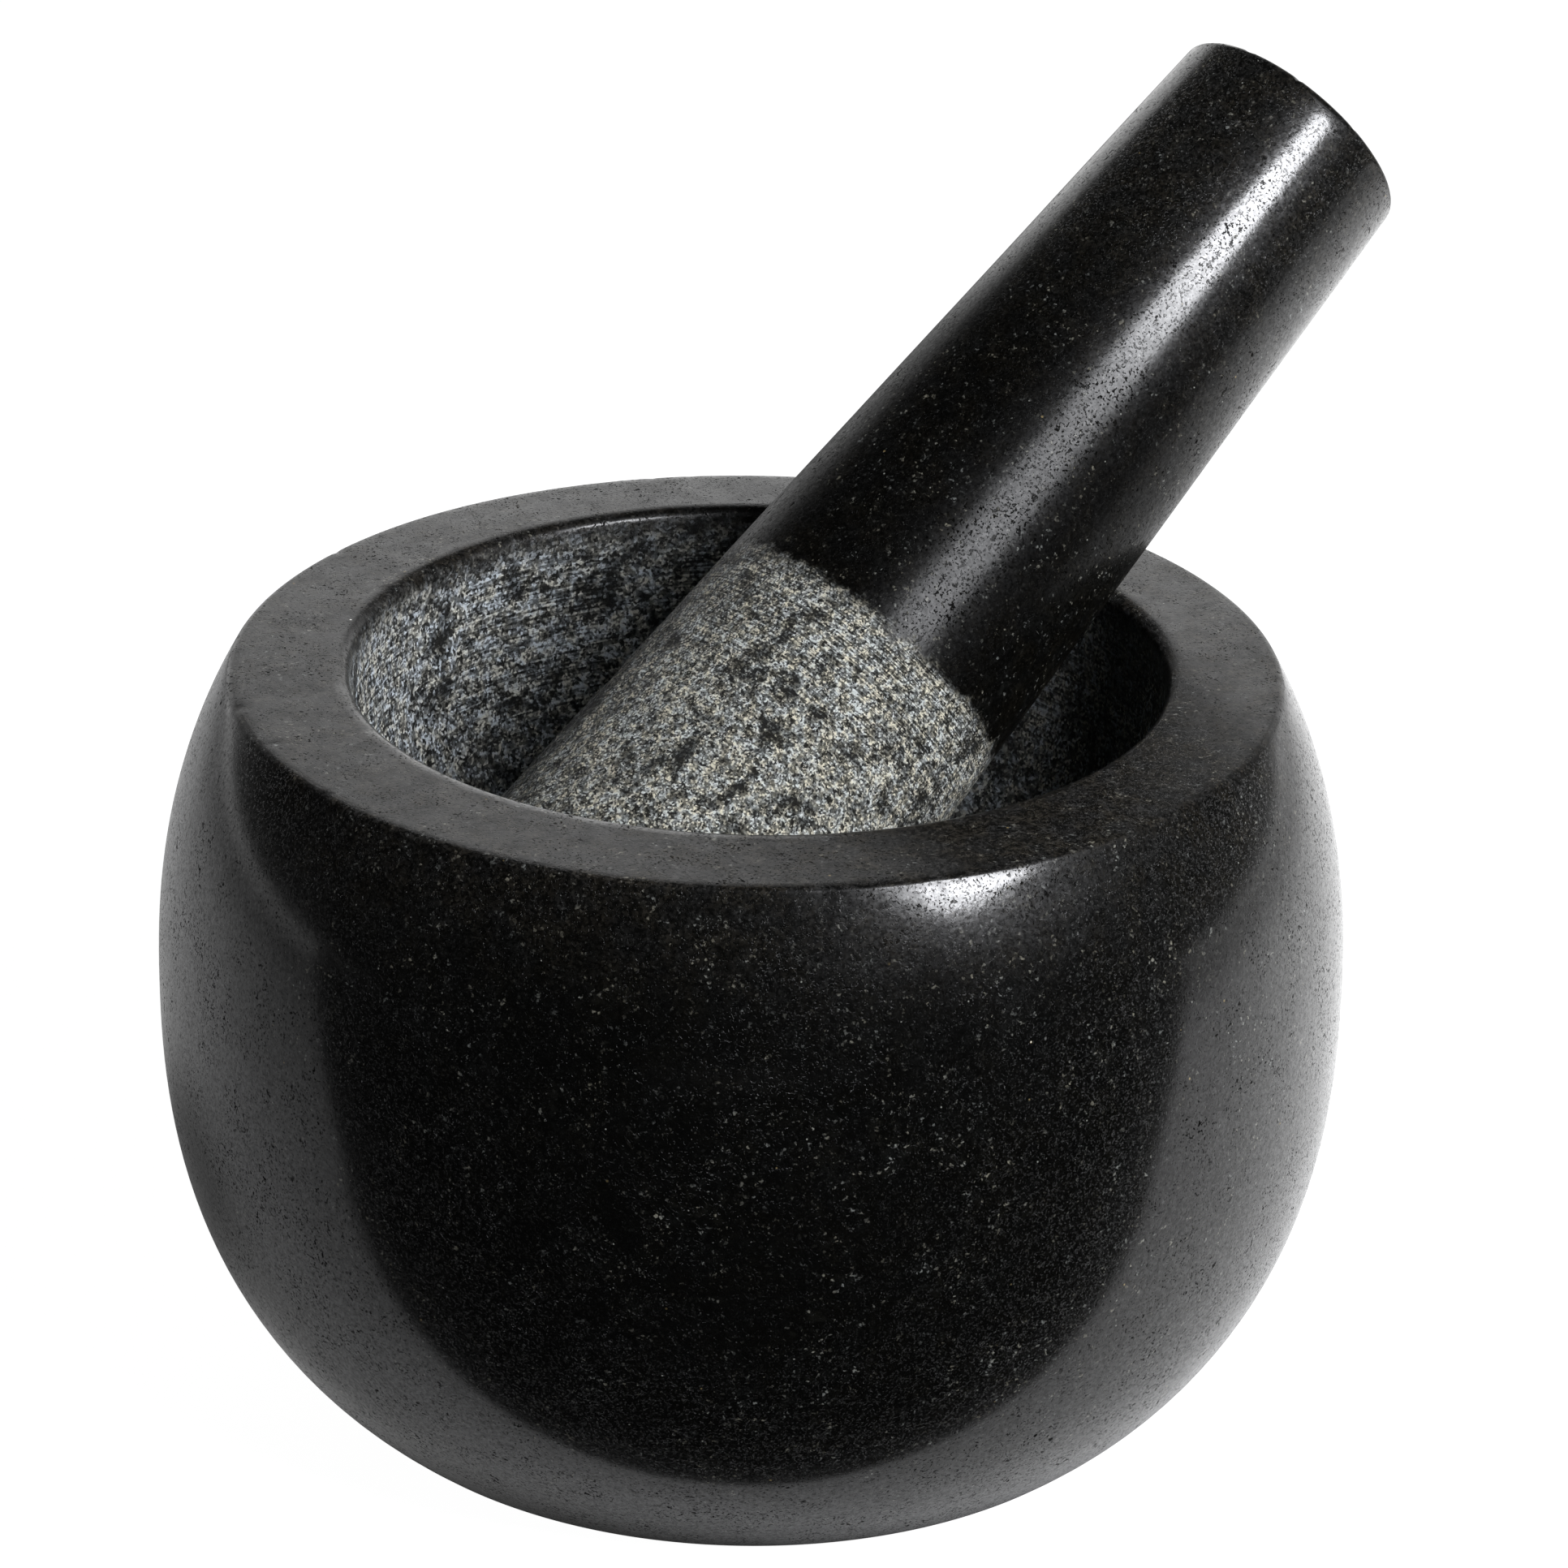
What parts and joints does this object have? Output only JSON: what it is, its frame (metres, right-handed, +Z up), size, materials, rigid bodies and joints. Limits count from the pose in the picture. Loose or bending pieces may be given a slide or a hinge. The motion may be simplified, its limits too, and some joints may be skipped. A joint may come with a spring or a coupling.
{
  "type": "mortar and pestle",
  "caption": "Round, big-bellied polished stone mortar with a deep rough hollow and a wide flat rim, and a loose tapered stone pestle that leans in it for grinding spices, herbs and salsas.",
  "frame": {"origin": "centre of the mortar's flat underside", "axes": "+Z up along the mortar's axis, out of the hollow; -Y towards the viewer; the pestle leans towards +X and +Y"},
  "size_m": [0.1459, 0.14, 0.1495],
  "materials": {
    "mortar_stone": "black granite, polished outside, satin on the rim and left rough in the hollow",
    "pestle_stone": "black granite, polished on the grip and left rough on the grinding end"
  },
  "bodies": {
    "mortar": {"mortar": "mortar_stone"},
    "pestle": {"pestle": "pestle_stone"}
  },
  "joints": [
    {"name": "pestle_lift", "type": "slide", "parent": "mortar", "child": "pestle", "axis": [0, 0, 1], "range_m": [0, 0.12]}
  ]
}
